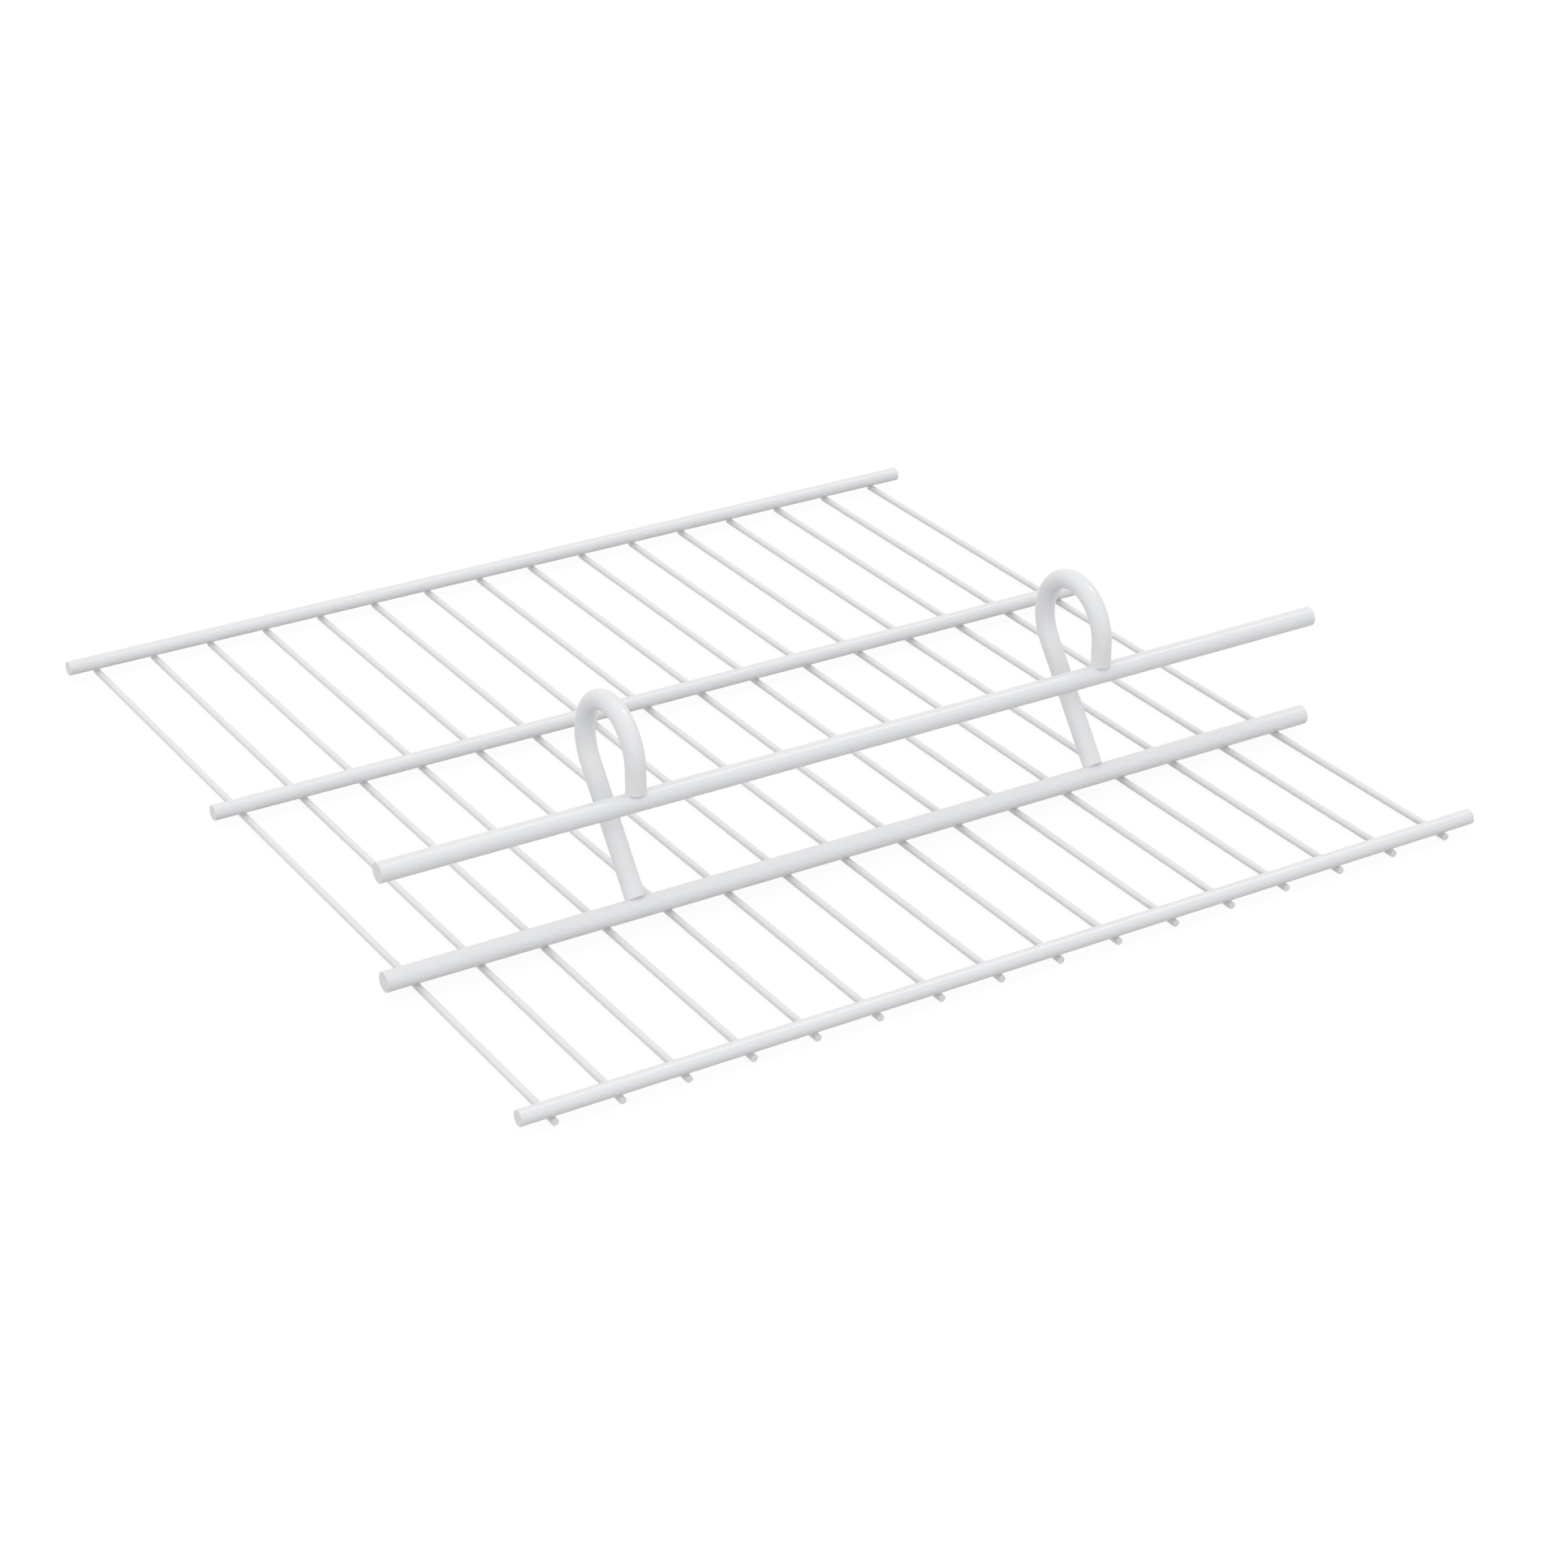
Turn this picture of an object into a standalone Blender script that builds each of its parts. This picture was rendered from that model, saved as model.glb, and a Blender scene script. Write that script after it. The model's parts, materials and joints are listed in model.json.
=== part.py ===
"""Section of coated ventilated wire shelf with a hang rod carried on two bent rod hooks.

Units are metres, with +Z up. X runs along the rods and Y from the front edge to the wall edge. The origin
is under the middle of the deck, on the surface that the deck wires lie on. The section lies with its deck
down and its hang rod up; on a wall it hangs the other way up, with the deck wires on top.
"""

import math

import bmesh
import bpy
from mathutils import Matrix

# Deck
ROD_LENGTH = 0.4064
DECK_DEPTH = 0.4064
WIRE_PITCH = 0.0254
WIRE_DIAMETER = 0.00266
WIRE_END_SETBACK = 0.0009
EDGE_ROD_DIAMETER = 0.0059
MIDDLE_ROD_DIAMETER = 0.0062
MIDDLE_ROD_FROM_REAR_ROD = 0.1500

# Hang rod and the deck rod that its hooks stand on
SUPPORT_ROD_DIAMETER = 0.0077
SUPPORT_ROD_FROM_FRONT_ROD = 0.1007
HANG_ROD_DIAMETER = 0.0077
HANG_ROD_RISE = 0.0433

# Hooks, bent from round rod
HOOK_ROD_DIAMETER = 0.0077
HOOK_SPACING = 0.2032
HOOK_BEND_RADIUS = 0.0187
HOOK_BEND_ABOVE_HANG_ROD = 0.0126
HOOK_SEAT_DEPTH = 0.0002

# Clearance left at each weld, and the broken edges of the cut ends
WELD_GAP = 0.0003
ROD_END_BREAK = 0.00025
WIRE_END_BREAK = 0.00015
HOOK_END_BREAK = 0.0002

# How finely round shapes are faceted
ROD_SIDES = 40
WIRE_SIDES = 20
HOOK_SIDES = 32
HOOK_BEND_STEPS = 36
SEAT_SIDES = 64
END_BREAK_STEPS = 1
SMOOTH_ANGLE = math.radians(32)

# Finish of the coated steel, as linear colour
ROD_COLOUR = (0.80, 0.81, 0.82, 1.0)
WIRE_COLOUR = (0.81, 0.82, 0.83, 1.0)
HOOK_COLOUR = (0.79, 0.80, 0.81, 1.0)
COAT_ROUGHNESS = 0.38

# Heights of the axes, stacked up from the surface that the deck wires lie on
WIRE_AXIS_Z = WIRE_DIAMETER / 2
DECK_TOP_Z = WIRE_DIAMETER + WELD_GAP
EDGE_ROD_Z = DECK_TOP_Z + EDGE_ROD_DIAMETER / 2
MIDDLE_ROD_Z = DECK_TOP_Z + MIDDLE_ROD_DIAMETER / 2
SUPPORT_ROD_Z = DECK_TOP_Z + SUPPORT_ROD_DIAMETER / 2
HANG_ROD_Z = SUPPORT_ROD_Z + HANG_ROD_RISE

# Places of the axes across the deck, whose depth is measured over the edge rods
FRONT_ROD_Y = (EDGE_ROD_DIAMETER - DECK_DEPTH) / 2
REAR_ROD_Y = -FRONT_ROD_Y
MIDDLE_ROD_Y = REAR_ROD_Y - MIDDLE_ROD_FROM_REAR_ROD
SUPPORT_ROD_Y = FRONT_ROD_Y + SUPPORT_ROD_FROM_FRONT_ROD


def clear_scene():
    """Remove everything that the starting scene holds."""
    for item in list(bpy.data.objects):
        bpy.data.objects.remove(item, do_unlink=True)


def coat_material(name, colour):
    """Return a white coating material for one piece."""
    material = bpy.data.materials.new(name + "_coat")
    material.use_nodes = True
    shader = material.node_tree.nodes["Principled BSDF"]
    shader.inputs["Base Color"].default_value = colour
    shader.inputs["Metallic"].default_value = 0.0
    shader.inputs["Roughness"].default_value = COAT_ROUGHNESS
    material.diffuse_color = colour
    return material


def break_end_edges(bm, end_faces, width):
    """Take the sharp rim off each cut end."""
    rims = {edge for face in end_faces for edge in face.edges}
    bmesh.ops.bevel(
        bm, geom=list(rims), offset=width, segments=END_BREAK_STEPS, profile=0.5, affect="EDGES"
    )


def add_piece(name, bm, colour, parent, location):
    """Turn a finished bmesh into a named object with its own coat."""
    bmesh.ops.recalc_face_normals(bm, faces=bm.faces[:])
    mesh = bpy.data.meshes.new(name)
    bm.to_mesh(mesh)
    bm.free()
    mesh.shade_smooth()
    mesh.set_sharp_from_angle(angle=SMOOTH_ANGLE)
    mesh.materials.append(coat_material(name, colour))
    piece = bpy.data.objects.new(name, mesh)
    bpy.context.collection.objects.link(piece)
    piece.parent = parent
    piece.location = location
    return piece


def round_bar(length, diameter, sides, end_break, along):
    """Return the bmesh of a straight round bar, cut square and centred on its own axis."""
    bm = bmesh.new()
    bmesh.ops.create_cone(
        bm,
        cap_ends=True,
        cap_tris=False,
        segments=sides,
        radius1=diameter / 2,
        radius2=diameter / 2,
        depth=length,
        matrix=Matrix.Rotation(math.radians(90), 4, "Y" if along == "X" else "X"),
    )
    if end_break:
        end_faces = [face for face in bm.faces if len(face.verts) == sides]
        break_end_edges(bm, end_faces, end_break)
    return bm


def add_rod(name, y, z, diameter, parent):
    """Add one lengthwise rod of the section."""
    bm = round_bar(ROD_LENGTH, diameter, ROD_SIDES, ROD_END_BREAK, "X")
    return add_piece(name, bm, ROD_COLOUR, parent, (0, y, z))


def add_cross_wires(parent):
    """Add the deck wires, as many as the pitch leaves room for, centred along the rods.

    They are cut a little short of the outer sides of the edge rods.
    """
    count = round(ROD_LENGTH / WIRE_PITCH)
    length = DECK_DEPTH - 2 * WIRE_END_SETBACK
    for index in range(count):
        x = (index - (count - 1) / 2) * WIRE_PITCH
        bm = round_bar(length, WIRE_DIAMETER, WIRE_SIDES, WIRE_END_BREAK, "Y")
        add_piece(f"cross_wire_{index + 1:02d}", bm, WIRE_COLOUR, parent, (x, 0, WIRE_AXIS_Z))


def extrude_ring(bm, edges, step):
    """Carry a ring of edges on by one straight step, and return the new ring."""
    grown = bmesh.ops.extrude_edge_only(bm, edges=edges)["geom"]
    verts = [item for item in grown if isinstance(item, bmesh.types.BMVert)]
    bmesh.ops.translate(bm, verts=verts, vec=step)
    return [item for item in grown if isinstance(item, bmesh.types.BMEdge) and item.is_boundary]


def hook_body():
    """Return the bmesh of a bent hook, with its origin on the support rod's axis.

    Both straight ends point at the support rod's axis. The front one comes down on top of the hang rod,
    and the back one leans back from the support rod, so the bend turns through half a circle and twice
    the angle under which its centre is seen.
    """
    tangent_length = HANG_ROD_RISE + HOOK_BEND_ABOVE_HANG_ROD
    lean = 2 * math.atan2(HOOK_BEND_RADIUS, tangent_length)
    neck_start = HANG_ROD_RISE + HANG_ROD_DIAMETER / 2 - HOOK_SEAT_DEPTH
    leg_length = tangent_length - SUPPORT_ROD_DIAMETER / 2 + HOOK_SEAT_DEPTH

    bm = bmesh.new()
    bmesh.ops.create_circle(
        bm,
        cap_ends=False,
        radius=HOOK_ROD_DIAMETER / 2,
        segments=HOOK_SIDES,
        matrix=Matrix.Translation((0, 0, neck_start)),
    )
    first_ring = bm.edges[:]
    neck_ring = extrude_ring(bm, first_ring, (0, 0, tangent_length - neck_start))
    bend = bmesh.ops.spin(
        bm,
        geom=neck_ring,
        cent=(0, HOOK_BEND_RADIUS, tangent_length),
        axis=(-1, 0, 0),
        angle=math.pi + lean,
        steps=HOOK_BEND_STEPS,
        use_merge=False,
        use_duplicate=False,
    )
    bend_ring = [item for item in bend["geom_last"] if isinstance(item, bmesh.types.BMEdge)]
    leg_step = (0, -math.sin(lean) * leg_length, -math.cos(lean) * leg_length)
    last_ring = extrude_ring(bm, bend_ring, leg_step)
    end_faces = []
    for ring in (first_ring, last_ring):
        end_faces += bmesh.ops.contextual_create(bm, geom=ring)["faces"]
    break_end_edges(bm, end_faces, HOOK_END_BREAK)
    return bm


def add_seat_cutter(name, rod_diameter, height, parent):
    """Add the guide that copes the hook ends over a rod with a weld gap, as long as the rod."""
    bm = round_bar(ROD_LENGTH, rod_diameter + 2 * WELD_GAP, SEAT_SIDES, 0, "X")
    cutter = add_piece(name, bm, HOOK_COLOUR, parent, (0, SUPPORT_ROD_Y, height))
    cutter.hide_render = True
    cutter.display_type = "WIRE"
    return cutter


def add_hooks(parent):
    """Add the two hooks, coped over the support rod and the hang rod."""
    cutters = [
        add_seat_cutter("hang_rod_seat_cutter", HANG_ROD_DIAMETER, HANG_ROD_Z, parent),
        add_seat_cutter("support_rod_seat_cutter", SUPPORT_ROD_DIAMETER, SUPPORT_ROD_Z, parent),
    ]
    for side, name in ((-1, "hook_left"), (1, "hook_right")):
        x = side * HOOK_SPACING / 2
        hook = add_piece(name, hook_body(), HOOK_COLOUR, parent, (x, SUPPORT_ROD_Y, SUPPORT_ROD_Z))
        for cutter in cutters:
            seat = hook.modifiers.new(cutter.name, "BOOLEAN")
            seat.operation = "DIFFERENCE"
            seat.solver = "EXACT"
            seat.object = cutter


def main():
    """Build the whole section."""
    clear_scene()
    section = bpy.data.objects.new("shelf_section", None)
    bpy.context.collection.objects.link(section)
    add_rod("front_rod", FRONT_ROD_Y, EDGE_ROD_Z, EDGE_ROD_DIAMETER, section)
    add_rod("middle_rod", MIDDLE_ROD_Y, MIDDLE_ROD_Z, MIDDLE_ROD_DIAMETER, section)
    add_rod("rear_rod", REAR_ROD_Y, EDGE_ROD_Z, EDGE_ROD_DIAMETER, section)
    add_rod("support_rod", SUPPORT_ROD_Y, SUPPORT_ROD_Z, SUPPORT_ROD_DIAMETER, section)
    add_rod("hang_rod", SUPPORT_ROD_Y, HANG_ROD_Z, HANG_ROD_DIAMETER, section)
    add_cross_wires(section)
    add_hooks(section)


main()
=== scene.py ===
"""Dressed model of a section of coated wire shelf with a hang rod on two bent rod hooks.

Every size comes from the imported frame. Each rod, wire and hook of the frame is replaced by a
finely turned or swept rod with the soft rim that a coating leaves, the weld at every crossing is
a small blended neck, and each finish is a node material of its own. All lengths are in metres.
"""

import json
import logging
import math
from dataclasses import dataclass, field
from enum import Enum
from typing import Callable, Sequence

import bmesh
import bpy
from mathutils import Matrix, Vector

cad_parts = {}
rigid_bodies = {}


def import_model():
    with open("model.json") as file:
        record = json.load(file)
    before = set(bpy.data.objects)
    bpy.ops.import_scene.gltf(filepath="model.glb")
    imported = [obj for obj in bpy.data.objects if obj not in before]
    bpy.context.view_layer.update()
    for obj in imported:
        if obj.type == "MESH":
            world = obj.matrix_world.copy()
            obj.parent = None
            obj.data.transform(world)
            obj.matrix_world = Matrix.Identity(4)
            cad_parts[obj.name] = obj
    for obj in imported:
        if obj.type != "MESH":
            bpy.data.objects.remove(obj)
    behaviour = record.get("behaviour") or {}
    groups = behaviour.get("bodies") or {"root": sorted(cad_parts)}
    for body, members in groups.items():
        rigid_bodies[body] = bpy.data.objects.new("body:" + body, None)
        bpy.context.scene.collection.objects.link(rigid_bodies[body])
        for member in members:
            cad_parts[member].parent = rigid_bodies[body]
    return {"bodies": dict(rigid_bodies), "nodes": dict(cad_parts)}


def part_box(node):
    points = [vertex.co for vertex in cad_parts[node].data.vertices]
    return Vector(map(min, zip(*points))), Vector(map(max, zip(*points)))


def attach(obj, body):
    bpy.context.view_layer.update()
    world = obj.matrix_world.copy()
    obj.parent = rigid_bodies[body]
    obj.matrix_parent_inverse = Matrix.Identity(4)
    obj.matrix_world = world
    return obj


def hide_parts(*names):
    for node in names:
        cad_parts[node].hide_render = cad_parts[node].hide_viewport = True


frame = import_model()

LOG = logging.getLogger("wire_shelf")
MM_PER_M = 1000.0
BODY = "root"
WELD_SHARP_ANGLE = math.radians(50)

# Above this share of X in its direction, a rod counts as running along X.
ALONG_X_SHARE = 0.5

# How far the steel's drawing lines are drawn out: their width over their length.
DRAWN_OUT = 0.03

# Tells how high a weld's outline stands over the weld's middle, at an X and a Y across it.
Height = Callable[[float, float], float]


class Grain(Enum):
    """Which way the drawing lines of the steel run under the coating."""

    ALONG_X = (DRAWN_OUT, 1.0, 1.0)
    ALONG_Y = (1.0, DRAWN_OUT, 1.0)
    NONE = (1.0, 1.0, 1.0)


def opaque(colour: Sequence[float]) -> tuple[float, float, float, float]:
    """Add full opacity to a colour, as a node socket asks."""
    return (*colour, 1.0)


def grey(tone: float) -> tuple[float, float, float, float]:
    """Make an opaque neutral colour of one tone."""
    return opaque((tone, tone, tone))


@dataclass(frozen=True)
class CoatFinish:
    """A satin white coating baked onto steel.

    The sizes and heights of its waves, drawing lines, mottle and specks are in metres, so they keep
    their real scale. A detail is how many finer layers a pattern has, and a range is the part of
    its noise over which it takes effect. The coat also rounds the rim of each cut end by a small
    radius.
    """

    name: str
    slot: str
    colour: tuple[float, float, float]
    grain: Grain
    rim: float = 0.00012
    ior: float = 1.48
    specular_level: float = 0.5
    roughness: float = 0.22
    roughness_swing: float = 0.025
    flow_range: tuple[float, float] = (0.3, 0.7)
    wave_size: float = 0.0022
    wave_height: float = 0.000008
    wave_detail: float = 1.0
    line_size: float = 0.0005
    line_height: float = 0.0000025
    line_detail: float = 2.0
    mottle_size: float = 0.022
    mottle_swing: float = 0.010
    mottle_detail: float = 3.0
    speck_size: float = 0.0007
    speck_depth: float = 0.016
    speck_range: tuple[float, float] = (0.30, 0.52)
    speck_detail: float = 1.0

    def material(self) -> bpy.types.Material:
        """Build the node material of this coating.

        Returns:
            The material, with colour, roughness and relief all varied over the surface.
        """
        material = bpy.data.materials.new(self.name)
        material.use_nodes = True
        tree = material.node_tree
        shader = tree.nodes["Principled BSDF"]
        place = tree.nodes.new("ShaderNodeTexCoord").outputs["Object"]
        mottle = self._noise(tree, place, self.mottle_size, self.mottle_detail)
        speck = self._noise(tree, place, self.speck_size, self.speck_detail)
        tone = self._specked(tree, self._mottled(tree, mottle), speck)
        tree.links.new(tone, shader.inputs["Base Color"])
        tree.links.new(self._roughness(tree, mottle), shader.inputs["Roughness"])
        tree.links.new(self._relief(tree, place), shader.inputs["Normal"])
        shader.inputs["Specular IOR Level"].default_value = self.specular_level
        shader.inputs["IOR"].default_value = self.ior
        material.diffuse_color = opaque(self.colour)
        return material

    def _noise(
        self, tree: bpy.types.NodeTree, place: bpy.types.NodeSocket, size: float, detail: float
    ) -> bpy.types.NodeSocket:
        """Add a noise whose features are about one size across.

        Args:
            tree: The material's node tree.
            place: The coordinates that the noise is laid in.
            size: The size of its features, in metres.
            detail: How many finer layers it has.

        Returns:
            The noise's value, from 0 to 1.
        """
        noise = tree.nodes.new("ShaderNodeTexNoise")
        noise.inputs["Scale"].default_value = 1.0 / size
        noise.inputs["Detail"].default_value = detail
        tree.links.new(place, noise.inputs["Vector"])
        return noise.outputs["Fac"]

    def _mottled(
        self, tree: bpy.types.NodeTree, mottle: bpy.types.NodeSocket
    ) -> bpy.types.NodeSocket:
        """Let the coat drift slowly to a little lighter and a little darker than its own tone.

        Args:
            tree: The material's node tree.
            mottle: The slow noise.

        Returns:
            The mottled colour.
        """
        mix = tree.nodes.new("ShaderNodeMix")
        mix.data_type = "RGBA"
        for end, share in (("A", 1.0 - self.mottle_swing), ("B", 1.0 + self.mottle_swing)):
            mix.inputs[end].default_value = opaque([part * share for part in self.colour])
        tree.links.new(mottle, mix.inputs["Factor"])
        return mix.outputs["Result"]

    def _specked(
        self, tree: bpy.types.NodeTree, colour: bpy.types.NodeSocket, speck: bpy.types.NodeSocket
    ) -> bpy.types.NodeSocket:
        """Darken the colour by its depth of speck where the fine noise is lowest.

        Args:
            tree: The material's node tree.
            colour: The colour without its specks.
            speck: The fine noise.

        Returns:
            The specked colour.
        """
        ramp = tree.nodes.new("ShaderNodeValToRGB")
        darkest, clear = ramp.color_ramp.elements
        darkest.position, clear.position = self.speck_range
        darkest.color = grey(1.0 - self.speck_depth)
        clear.color = grey(1.0)
        tree.links.new(speck, ramp.inputs["Fac"])
        mix = tree.nodes.new("ShaderNodeMix")
        mix.data_type = "RGBA"
        mix.blend_type = "MULTIPLY"
        mix.inputs["Factor"].default_value = 1.0
        tree.links.new(colour, mix.inputs["A"])
        tree.links.new(ramp.outputs["Color"], mix.inputs["B"])
        return mix.outputs["Result"]

    def _roughness(
        self, tree: bpy.types.NodeTree, mottle: bpy.types.NodeSocket
    ) -> bpy.types.NodeSocket:
        """Make the coat a little glossier where it flowed out thicker.

        Args:
            tree: The material's node tree.
            mottle: The slow noise.

        Returns:
            The roughness of the coat.
        """
        spread = tree.nodes.new("ShaderNodeMapRange")
        spread.interpolation_type = "SMOOTHSTEP"
        spread.inputs["From Min"].default_value = self.flow_range[0]
        spread.inputs["From Max"].default_value = self.flow_range[1]
        spread.inputs["To Min"].default_value = self.roughness - self.roughness_swing
        spread.inputs["To Max"].default_value = self.roughness + self.roughness_swing
        tree.links.new(mottle, spread.inputs["Value"])
        return spread.outputs["Result"]

    def _relief(
        self, tree: bpy.types.NodeTree, place: bpy.types.NodeSocket
    ) -> bpy.types.NodeSocket:
        """Give the coat its orange peel, with the steel's drawing lines showing through.

        Args:
            tree: The material's node tree.
            place: The coordinates that the relief is laid in.

        Returns:
            The normal of the coat.
        """
        stretch = tree.nodes.new("ShaderNodeMapping")
        stretch.inputs["Scale"].default_value = self.grain.value
        tree.links.new(place, stretch.inputs["Vector"])
        drawn = stretch.outputs["Vector"]
        lines = self._noise(tree, drawn, self.line_size, self.line_detail)
        waves = self._noise(tree, place, self.wave_size, self.wave_detail)
        lined = self._bump(tree, lines, self.line_height)
        waved = self._bump(tree, waves, self.wave_height)
        tree.links.new(lined.outputs["Normal"], waved.inputs["Normal"])
        return waved.outputs["Normal"]

    def _bump(
        self, tree: bpy.types.NodeTree, pattern: bpy.types.NodeSocket, height: float
    ) -> bpy.types.Node:
        """Add a bump that raises the coat by a pattern.

        Args:
            tree: The material's node tree.
            pattern: The pattern, from 0 to 1.
            height: How high it raises the coat at most, in metres.

        Returns:
            The bump node.
        """
        bump = tree.nodes.new("ShaderNodeBump")
        bump.inputs["Strength"].default_value = 1.0
        bump.inputs["Distance"].default_value = height
        tree.links.new(pattern, bump.inputs["Height"])
        return bump


# The tone of the coat, as linear colour. The wires and the hooks are a little lighter, as painted
# light that makes up for the shade nearby rods and the table cast on them.
WHITE = (0.800, 0.807, 0.822)
PAINTED_LIGHT_WHITE = (0.820, 0.827, 0.842)

ROD_COAT = CoatFinish("rod_coating", "rod_coat", WHITE, Grain.ALONG_X)
# The wire and hook coats take the lighter tone, which is painted light on the same coating.
WIRE_COAT = CoatFinish("wire_coating", "wire_coat", PAINTED_LIGHT_WHITE, Grain.ALONG_Y, rim=0.00008)
HOOK_COAT = CoatFinish("hook_coating", "hook_coat", PAINTED_LIGHT_WHITE, Grain.NONE)
WELD_COAT = CoatFinish("weld_coating", "rod_coat", WHITE, Grain.NONE, wave_height=0.000012)


@dataclass
class Station:
    """One ring of a round rod: its centre, which way the rod runs there, and its radius."""

    centre: Vector
    tangent: Vector
    radius: float


@dataclass
class RoundRod:
    """A straight or bent round rod with square cut ends, whose rims the coating has softened.

    The path gives the rod's centre line as places and directions. An extra ring stands a short
    hold away from each rim, on the cut face and on the long side, so that the shading of the rim
    doesn't spread over them.
    """

    name: str
    node: str
    path: Sequence[tuple[Vector, Vector]]
    radius: float
    finish: CoatFinish
    rim_steps: int = 4
    hold: float = 0.0004
    sides: int = 64

    def stations(self) -> list[Station]:
        """List the rod's rings from one end face to the other.

        Returns:
            The stations, with the rounded rims at both ends.
        """
        start, start_way = self.path[0]
        end, end_way = self.path[-1]
        near_rim = [Station(*ring) for ring in self._rim(start, start_way)]
        between = [Station(place, way, self.radius) for place, way in self.path[1:-1]]
        far_rim = [Station(place, -way, radius) for place, way, radius in self._rim(end, -end_way)]
        return near_rim + between + far_rim[::-1]

    def _rim(self, face: Vector, inward: Vector) -> list[tuple[Vector, Vector, float]]:
        """Round one rim, from the flat of the cut face to the full radius.

        Args:
            face: The centre of the cut face.
            inward: The way from that face into the rod.

        Returns:
            Centre, direction and radius of each ring, the innermost ring of the face first.
        """
        rim = self.finish.rim
        flat = self.radius - rim
        rings = [(face, inward, flat - self.hold)]
        for step in range(self.rim_steps + 1):
            turn = math.pi / 2 * step / self.rim_steps
            depth = rim * (1.0 - math.cos(turn))
            rings.append((face + inward * depth, inward, flat + rim * math.sin(turn)))
        rings.append((face + inward * (rim + self.hold), inward, self.radius))
        return rings

    def _spokes(self, tangent: Vector) -> tuple[Vector, Vector]:
        """Choose the two directions, square to the rod, that a ring is laid out in.

        Args:
            tangent: The way the rod runs.

        Returns:
            The direction of the ring's first point, and the one a quarter of a turn on.
        """
        if abs(tangent.x) > ALONG_X_SHARE:
            first = tangent.orthogonal().normalized()
        else:
            first = Vector((1, 0, 0))
        return first, tangent.cross(first).normalized()

    def build(self) -> bpy.types.Object:
        """Sweep the rod's skin over its stations and close its cut faces.

        Returns:
            The rod as a mesh object, placed in the frame.
        """
        bm = bmesh.new()
        origin = self.path[0][0]
        rings = []
        for station in self.stations():
            across, upright = self._spokes(station.tangent)
            ring = []
            for side in range(self.sides):
                turn = math.tau * side / self.sides
                offset = across * math.cos(turn) + upright * math.sin(turn)
                ring.append(bm.verts.new(station.centre + offset * station.radius - origin))
            rings.append(ring)
        for near, far in zip(rings, rings[1:]):
            for side in range(self.sides):
                after = (side + 1) % self.sides
                bm.faces.new((near[side], near[after], far[after], far[side]))
        for ring in (rings[0], rings[-1]):
            centre = bm.verts.new(sum((vert.co for vert in ring), Vector()) / self.sides)
            for side in range(self.sides):
                after = (side + 1) % self.sides
                bm.faces.new((centre, ring[side], ring[after]))
        bmesh.ops.recalc_face_normals(bm, faces=bm.faces[:])
        return new_object(self.name, bm, origin)

    def dress(self, piece: bpy.types.Object, material: bpy.types.Material) -> None:
        """Coat the rod, ride it on the body and let it stand for its node.

        Args:
            piece: The rod.
            material: The coating.
        """
        piece.data.materials.append(material)
        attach(piece, BODY)
        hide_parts(self.node)


def new_object(name: str, bm: bmesh.types.BMesh, place: Vector) -> bpy.types.Object:
    """Turn a bmesh into a smooth shaded object.

    Args:
        name: The object's name.
        bm: The mesh, which is used up.
        place: Where the object's origin goes.

    Returns:
        The linked object.
    """
    mesh = bpy.data.meshes.new(name)
    bm.to_mesh(mesh)
    bm.free()
    mesh.shade_smooth()
    piece = bpy.data.objects.new(name, mesh)
    bpy.context.scene.collection.objects.link(piece)
    piece.location = place
    return piece


def bar_of(node: str) -> tuple[Vector, Vector, float]:
    """Read a straight bar from the frame.

    Args:
        node: The bar's node, which lies along X or Y.

    Returns:
        The centres of its two end faces and its radius.
    """
    low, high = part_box(node)
    middle = (low + high) / 2
    radius = (high.z - low.z) / 2
    if high.x - low.x > high.y - low.y:
        return Vector((low.x, middle.y, middle.z)), Vector((high.x, middle.y, middle.z)), radius
    return Vector((middle.x, low.y, middle.z)), Vector((middle.x, high.y, middle.z)), radius


def add_bar(node: str, finish: CoatFinish, material: bpy.types.Material) -> None:
    """Make and dress one straight rod or wire.

    Args:
        node: Its node in the frame.
        finish: Its coating.
        material: That coating's material.
    """
    start, end, radius = bar_of(node)
    way = (end - start).normalized()
    bar = RoundRod(f"{node}_bar", node, ((start, way), (end, way)), radius, finish)
    bar.dress(bar.build(), material)
    length_mm, thickness_mm = (end - start).length * MM_PER_M, 2 * radius * MM_PER_M
    LOG.info("%s, %.1f mm long, %.2f mm thick", bar.name, length_mm, thickness_mm)


def crest_drop(radius: float, offset: float) -> float:
    """Tell how far a round rod's surface has fallen away beside its crest.

    Args:
        radius: The rod's radius.
        offset: The distance from the crest line, square to the rod.

    Returns:
        The drop below the crest.
    """
    return radius - math.sqrt(radius * radius - offset * offset)


@dataclass(frozen=True)
class Rim:
    """One outline of a weld, with its half widths along X and Y and the skin that it follows."""

    half: tuple[float, float]
    height: Height

    def point(self, turn: float, squareness: float) -> Vector:
        """Find a point of the outline.

        Args:
            turn: The angle round the outline.
            squareness: 2 for an ellipse, and more for an outline with fuller corners.

        Returns:
            The point, on the skin that the outline follows.
        """
        across, along = math.cos(turn), math.sin(turn)
        x = math.copysign(self.half[0] * abs(across) ** (2 / squareness), across)
        y = math.copysign(self.half[1] * abs(along) ** (2 / squareness), along)
        return Vector((x, y, self.height(x, y)))


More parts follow.
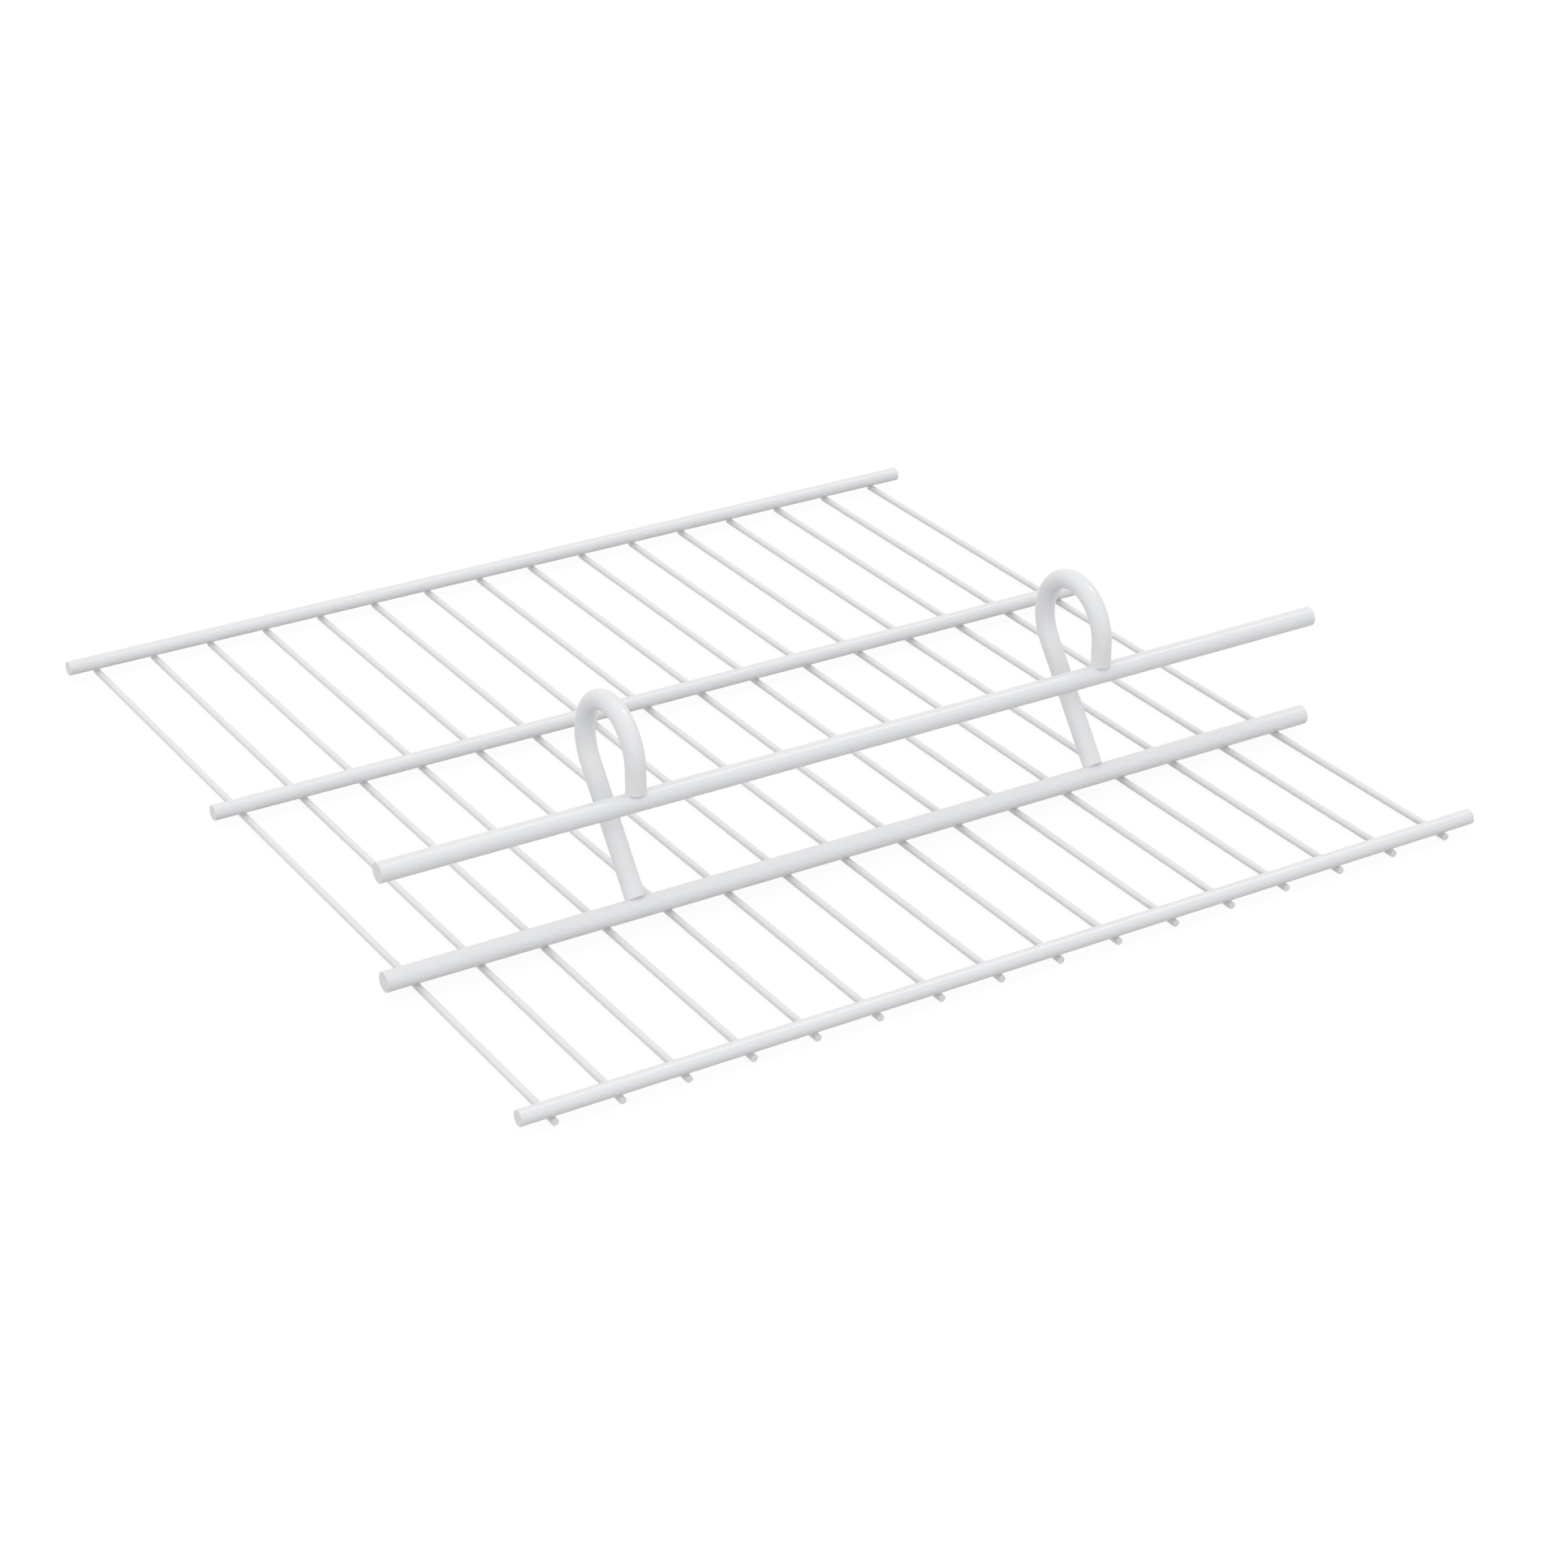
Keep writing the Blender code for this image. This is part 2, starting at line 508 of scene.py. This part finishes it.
@dataclass
class WeldNeck:
    """A neck of weld metal and coating, hollowed like a fillet between its rims.

    It is made about its own middle, with Z along the line between the two pieces that it joins and
    its rims from the lowest to the highest.
    """

    rims: Sequence[Rim]
    squareness: float = 2.0
    steps: int = 5
    segments: int = 32

    def add_to(self, bm: bmesh.types.BMesh, place: Matrix) -> None:
        """Add the neck to a mesh.

        Args:
            bm: The mesh that takes the neck.
            place: Where the neck's own middle and axes go.
        """
        loops = [self._ring(bm, place, self.rims[0], self.rims[1], 0.0, 0.0)]
        for stage, (low, high) in enumerate(zip(self.rims, self.rims[1:])):
            for step in range(1, self.steps + 1):
                turn = math.pi / 2 * step / self.steps
                inward, upward = math.sin(turn), 1.0 - math.cos(turn)
                # From the waist on, the neck climbs before it spreads, so it stays hollow.
                if stage > 0:
                    inward, upward = upward, inward
                loops.append(self._ring(bm, place, low, high, inward, upward))
        for low_loop, high_loop in zip(loops, loops[1:]):
            for side in range(self.segments):
                after = (side + 1) % self.segments
                bm.faces.new((low_loop[side], low_loop[after], high_loop[after], high_loop[side]))
        bm.faces.new(tuple(reversed(loops[0])))
        bm.faces.new(tuple(loops[-1]))

    def _ring(
        self,
        bm: bmesh.types.BMesh,
        place: Matrix,
        low: Rim,
        high: Rim,
        inward: float,
        upward: float,
    ) -> list[bmesh.types.BMVert]:
        """Add one ring between two rims.

        Args:
            bm: The mesh that takes the ring.
            place: Where the neck's own middle and axes go.
            low: The lower rim.
            high: The upper rim.
            inward: How far the ring has moved from the lower outline to the upper one.
            upward: How far it has climbed from the lower rim to the upper one.

        Returns:
            The ring's points.
        """
        ring = []
        for side in range(self.segments):
            turn = math.tau * side / self.segments
            start, end = low.point(turn, self.squareness), high.point(turn, self.squareness)
            flat = start.lerp(end, inward)
            ring.append(bm.verts.new(place @ Vector((flat.x, flat.y, start.lerp(end, upward).z))))
        return ring


def add_weld_piece(
    name: str, bm: bmesh.types.BMesh, place: Vector, material: bpy.types.Material
) -> None:
    """Turn finished necks into one piece that rides on the body.

    Args:
        name: The piece's name.
        bm: The necks, which are used up.
        place: Where the piece's origin goes.
        material: The welds' coating.
    """
    bmesh.ops.recalc_face_normals(bm, faces=bm.faces[:])
    welds = new_object(name, bm, place)
    welds.data.set_sharp_from_angle(angle=WELD_SHARP_ANGLE)
    welds.data.materials.append(material)
    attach(welds, BODY)


def cross_wire_nodes() -> list[str]:
    """List the nodes of the deck wires, from left to right."""
    return sorted(name for name in frame["nodes"] if name.startswith("cross_wire"))


@dataclass
class WireDeck:
    """The flat deck: four lengthwise rods on a row of thin cross wires.

    The outlines of its welds are half widths along X and Y: on the wire, at the waist and on the
    rod. The bite is how deep a weld sinks into both.
    """

    rod_nodes: Sequence[str] = ("front_rod", "support_rod", "middle_rod", "rear_rod")
    wire_nodes: list[str] = field(default_factory=cross_wire_nodes)
    weld_on_wire: tuple[float, float] = (0.00090, 0.00130)
    weld_waist: tuple[float, float] = (0.00065, 0.00080)
    weld_on_rod: tuple[float, float] = (0.00130, 0.00100)
    weld_bite: float = 0.00008

    def build(self) -> None:
        """Make and dress every rod, wire and weld of the deck."""
        rod_material = ROD_COAT.material()
        wire_material = WIRE_COAT.material()
        weld_material = WELD_COAT.material()
        for node in self.rod_nodes:
            add_bar(node, ROD_COAT, rod_material)
        for node in self.wire_nodes:
            add_bar(node, WIRE_COAT, wire_material)
        for node in self.rod_nodes:
            self._add_welds(node, weld_material)

    def _add_welds(self, rod_node: str, material: bpy.types.Material) -> None:
        """Join one rod to every deck wire with a blended neck.

        Args:
            rod_node: The rod's node.
            material: The welds' coating.
        """
        rod, _, rod_radius = bar_of(rod_node)
        wire, _, wire_radius = bar_of(self.wire_nodes[0])
        wire_top, rod_foot = wire.z + wire_radius, rod.z - rod_radius
        middle = Vector((0, rod.y, (wire_top + rod_foot) / 2))
        bite = (rod_foot - wire_top) / 2 + self.weld_bite
        foot = Rim(self.weld_on_wire, lambda x, y: -bite - crest_drop(wire_radius, x))
        waist = Rim(self.weld_waist, lambda x, y: 0.0)
        top = Rim(self.weld_on_rod, lambda x, y: bite + crest_drop(rod_radius, y))
        neck = WeldNeck((foot, waist, top))
        bm = bmesh.new()
        for wire_node in self.wire_nodes:
            neck.add_to(bm, Matrix.Translation((bar_of(wire_node)[0].x, 0, 0)))
        add_weld_piece(f"{rod_node}_welds", bm, middle, material)
        LOG.info("%s_welds, one at each of %d wires", rod_node, len(self.wire_nodes))


@dataclass
class HangRail:
    """The hang rod and the bent hooks that carry it off the deck.

    The middle of a hook's cut face lies its seat depth below the crest of the rod that it stands
    on. The outlines of its welds are half widths along and across that rod, on the rod and on the
    hook. The climb is how far a weld rises at the hook's two sides along the rod, and the bite is
    how deep it sinks into the rod.
    """

    hook_nodes: Sequence[str] = ("hook_left", "hook_right")
    bend_steps: int = 96
    seat_depth: float = 0.0002
    weld_on_rod: tuple[float, float] = (0.00380, 0.00180)
    weld_on_hook: tuple[float, float] = (0.00375, 0.00185)
    weld_squareness: float = 5.0
    weld_climb: float = 0.00040
    weld_bite: float = 0.00012
    weld_segments: int = 64

    def build(self) -> None:
        """Make and dress the hang rod, its hooks and their welds."""
        rod_material = ROD_COAT.material()
        hook_material = HOOK_COAT.material()
        weld_material = WELD_COAT.material()
        add_bar("hang_rod", ROD_COAT, rod_material)
        for node in self.hook_nodes:
            self._add_hook(node, hook_material, weld_material)

    def _hook_path(self, node: str) -> tuple[list[tuple[Vector, Vector]], float]:
        """Work out a hook's centre line from its box and the two rods that it joins.

        Args:
            node: The hook's node.

        Returns:
            The centre line, from the hang rod round to the support rod, and the hook's radius.
        """
        low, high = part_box(node)
        radius = (high.x - low.x) / 2
        bend_radius = (high.y - low.y) / 2 - radius
        x = (low.x + high.x) / 2
        hang, _, hang_radius = bar_of("hang_rod")
        support, _, support_radius = bar_of("support_rod")
        foot = Vector((x, support.y, support.z))
        bend_middle = Vector((x, low.y + radius + bend_radius, high.z - radius - bend_radius))
        lean = 2 * math.atan2(bend_radius, bend_middle.z - foot.z)
        neck_end = Vector((x, hang.y, hang.z + hang_radius - self.seat_depth))
        path = [(neck_end, Vector((0, 0, 1)))]
        for step in range(self.bend_steps + 1):
            turn = (math.pi + lean) * step / self.bend_steps
            spoke = Vector((0, -math.cos(turn), math.sin(turn)))
            way = Vector((0, math.sin(turn), math.cos(turn)))
            path.append((bend_middle + spoke * bend_radius, way))
        leg_way = Vector((0, -math.sin(lean), -math.cos(lean)))
        path.append((foot - leg_way * (support_radius - self.seat_depth), leg_way))
        return path, radius

    def _add_hook(
        self, node: str, material: bpy.types.Material, weld_material: bpy.types.Material
    ) -> None:
        """Make one hook with a weld at each end.

        Args:
            node: The hook's node.
            material: The hook's coating.
            weld_material: The welds' coating.
        """
        path, radius = self._hook_path(node)
        hook = RoundRod(f"{node}_rod", node, path, radius, HOOK_COAT)
        hook.dress(hook.build(), material)
        ends = (("hang_rod", *path[0]), ("support_rod", path[-1][0], -path[-1][1]))
        for rod_node, seat, way in ends:
            rod_radius = bar_of(rod_node)[2]
            name = f"{node}_{rod_node}_weld"
            self._add_seat_weld(name, rod_radius, seat, way, weld_material)
        LOG.info("%s, %.1f mm thick, with two welds", hook.name, 2 * radius * MM_PER_M)

    def _add_seat_weld(
        self, name: str, rod_radius: float, seat: Vector, way: Vector, material: bpy.types.Material
    ) -> None:
        """Weld one end of a hook to the rod that it stands on.

        Args:
            name: The weld's name.
            rod_radius: The radius of that rod.
            seat: The middle of the hook's cut face.
            way: The way from the rod into the hook.
            material: The weld's coating.
        """
        width = self.weld_on_hook[0]
        foot = Rim(self.weld_on_rod, lambda x, y: -self.weld_bite - crest_drop(rod_radius, y))
        top = Rim(self.weld_on_hook, lambda x, y: self.weld_climb * (x / width) ** 2)
        neck = WeldNeck((foot, top), self.weld_squareness, segments=self.weld_segments)
        bm = bmesh.new()
        neck.add_to(bm, way.to_track_quat("Z", "Y").to_matrix().to_4x4())
        add_weld_piece(name, bm, seat + way * self.seat_depth, material)


@dataclass
class PhotoCamera:
    """The camera that took the photograph, solved from the rods and the wires."""

    place: tuple[float, float, float] = (-0.63622, -1.07774, 0.63163)
    azimuth_deg: float = -31.362
    elevation_deg: float = 27.288
    focal_px: float = 4351.3
    frame_px: float = 1932.0
    sensor_mm: float = 36.0
    clip_start: float = 0.01
    clip_end: float = 100.0

    def build(self) -> None:
        """Create the camera and make it the scene's own."""
        azimuth = math.radians(self.azimuth_deg)
        elevation = math.radians(self.elevation_deg)
        look = Vector(
            (
                -math.sin(azimuth) * math.cos(elevation),
                math.cos(azimuth) * math.cos(elevation),
                -math.sin(elevation),
            )
        )
        data = bpy.data.cameras.new("photo_camera")
        data.sensor_width = self.sensor_mm
        data.lens = self.focal_px / self.frame_px * self.sensor_mm
        data.clip_start = self.clip_start
        data.clip_end = self.clip_end
        camera = bpy.data.objects.new("photo_camera", data)
        camera.location = self.place
        camera.rotation_mode = "QUATERNION"
        camera.rotation_quaternion = look.to_track_quat("-Z", "Y")
        bpy.context.scene.collection.objects.link(camera)
        bpy.context.scene.camera = camera
        LOG.info("camera with a %.1f mm lens", data.lens)


@dataclass
class Studio:
    """A plain white table under an even dome, with a broad soft box and a thin strip lamp.

    The soft box fills the coat's colour from the camera's side and doesn't show in its gloss. The
    strip lamp overhead only draws the fine line of gloss along the rods, and adds no light to the
    colour. The table and the dome have one tone or strength for the light that they give the
    object, and another that shows them as white.
    """

    floor_size: float = 12.0
    floor_cells: int = 8
    floor_drop: float = 0.0001
    floor_tone: float = 0.38
    shown_tone: float = 0.12
    shown_glow: float = 0.893
    dome_strength: float = 0.95
    dome_shown: float = 1.0
    box_way: tuple[float, float, float] = (-0.46, -0.76, 0.46)
    box_distance: float = 3.0
    box_size: float = 1.6
    box_power: float = 11.5
    strip_way: tuple[float, float, float] = (0.477, 0.020, 0.879)
    strip_distance: float = 3.0
    strip_width: float = 0.10
    strip_length: float = 1.30
    strip_power: float = 8.0

    def build(self) -> None:
        """Set up the floor, the dome, the lamps and the view settings."""
        self._floor()
        self._dome()
        self._soft_box()
        self._strip_lamp()
        bpy.context.scene.view_settings.view_transform = "Standard"
        LOG.info("studio ready")

    def _soft_box(self) -> None:
        """Hang the broad box that fills the coat's colour."""
        box = bpy.data.lights.new("soft_box", "AREA")
        box.shape = "SQUARE"
        box.size = self.box_size
        box.energy = self.box_power
        self._hang(box, self.box_way, self.box_distance).visible_glossy = False

    def _strip_lamp(self) -> None:
        """Hang the thin lamp that draws the line of gloss."""
        strip = bpy.data.lights.new("strip_lamp", "AREA")
        strip.shape = "RECTANGLE"
        strip.size = self.strip_width
        strip.size_y = self.strip_length
        strip.energy = self.strip_power
        self._hang(strip, self.strip_way, self.strip_distance).visible_diffuse = False

    def _hang(
        self, data: bpy.types.Light, way: tuple[float, float, float], distance: float
    ) -> bpy.types.Object:
        """Hang a lamp so that it shines on the middle of the shelf.

        Args:
            data: The lamp.
            way: The direction from the shelf to the lamp.
            distance: How far off it hangs.

        Returns:
            The hung lamp.
        """
        lamp = bpy.data.objects.new(data.name, data)
        lamp.location = Vector(way).normalized() * distance
        lamp.rotation_mode = "QUATERNION"
        lamp.rotation_quaternion = Vector(way).to_track_quat("Z", "Y")
        bpy.context.scene.collection.objects.link(lamp)
        return lamp

    def _seen(self, tree: bpy.types.NodeTree) -> bpy.types.NodeSocket:
        """Tell the rays that show the background from those that light the object.

        Args:
            tree: The node tree of the floor or the dome.

        Returns:
            One for camera, glossy and transmission rays, and zero for the others.
        """
        path = tree.nodes.new("ShaderNodeLightPath")
        seen = path.outputs["Is Camera Ray"]
        for other in ("Is Glossy Ray", "Is Transmission Ray"):
            either = tree.nodes.new("ShaderNodeMath")
            either.operation = "MAXIMUM"
            tree.links.new(seen, either.inputs[0])
            tree.links.new(path.outputs[other], either.inputs[1])
            seen = either.outputs["Value"]
        return seen

    def _floor(self) -> None:
        """Lay the table top just under the object."""
        bm = bmesh.new()
        cells = self.floor_cells
        bmesh.ops.create_grid(bm, x_segments=cells, y_segments=cells, size=self.floor_size / 2)
        floor = new_object("table_top", bm, Vector((0, 0, -self.floor_drop)))
        floor.data.materials.append(self._paper())

    def _paper(self) -> bpy.types.Material:
        """Build the table's pale paper, which shows white but keeps the object's shadow.

        Returns:
            The material.
        """
        material = bpy.data.materials.new("table_top_paper")
        material.use_nodes = True
        tree = material.node_tree
        tree.nodes.clear()
        paper = tree.nodes.new("ShaderNodeBsdfDiffuse")
        paper.inputs["Color"].default_value = grey(self.floor_tone)
        shown = tree.nodes.new("ShaderNodeBsdfDiffuse")
        shown.inputs["Color"].default_value = grey(self.shown_tone)
        glow = tree.nodes.new("ShaderNodeEmission")
        glow.inputs["Strength"].default_value = self.shown_glow
        both = tree.nodes.new("ShaderNodeAddShader")
        tree.links.new(shown.outputs["BSDF"], both.inputs[0])
        tree.links.new(glow.outputs["Emission"], both.inputs[1])
        mix = tree.nodes.new("ShaderNodeMixShader")
        tree.links.new(self._seen(tree), mix.inputs["Fac"])
        tree.links.new(paper.outputs["BSDF"], mix.inputs[1])
        tree.links.new(both.outputs["Shader"], mix.inputs[2])
        output = tree.nodes.new("ShaderNodeOutputMaterial")
        tree.links.new(mix.outputs["Shader"], output.inputs["Surface"])
        return material

    def _dome(self) -> None:
        """Light everything evenly from a white dome, which itself shows as white as the table."""
        world = bpy.data.worlds.new("white_dome")
        world.use_nodes = True
        tree = world.node_tree
        background = tree.nodes["Background"]
        background.inputs["Color"].default_value = grey(1.0)
        strength = tree.nodes.new("ShaderNodeMapRange")
        strength.inputs["To Min"].default_value = self.dome_strength
        strength.inputs["To Max"].default_value = self.dome_shown
        tree.links.new(self._seen(tree), strength.inputs["Value"])
        tree.links.new(strength.outputs["Result"], background.inputs["Strength"])
        bpy.context.scene.world = world


def clear_start_objects() -> None:
    """Remove what the starting scene held beside the frame."""
    kept = set(frame["bodies"].values()) | set(frame["nodes"].values())
    for item in list(bpy.data.objects):
        if item not in kept:
            bpy.data.objects.remove(item, do_unlink=True)


def main() -> None:
    """Build the dressed shelf section and its studio."""
    logging.basicConfig(level=logging.INFO, format="%(name)s: %(message)s")
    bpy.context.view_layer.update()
    clear_start_objects()
    PhotoCamera().build()
    WireDeck().build()
    HangRail().build()
    Studio().build()


if __name__ == "__main__":
    main()
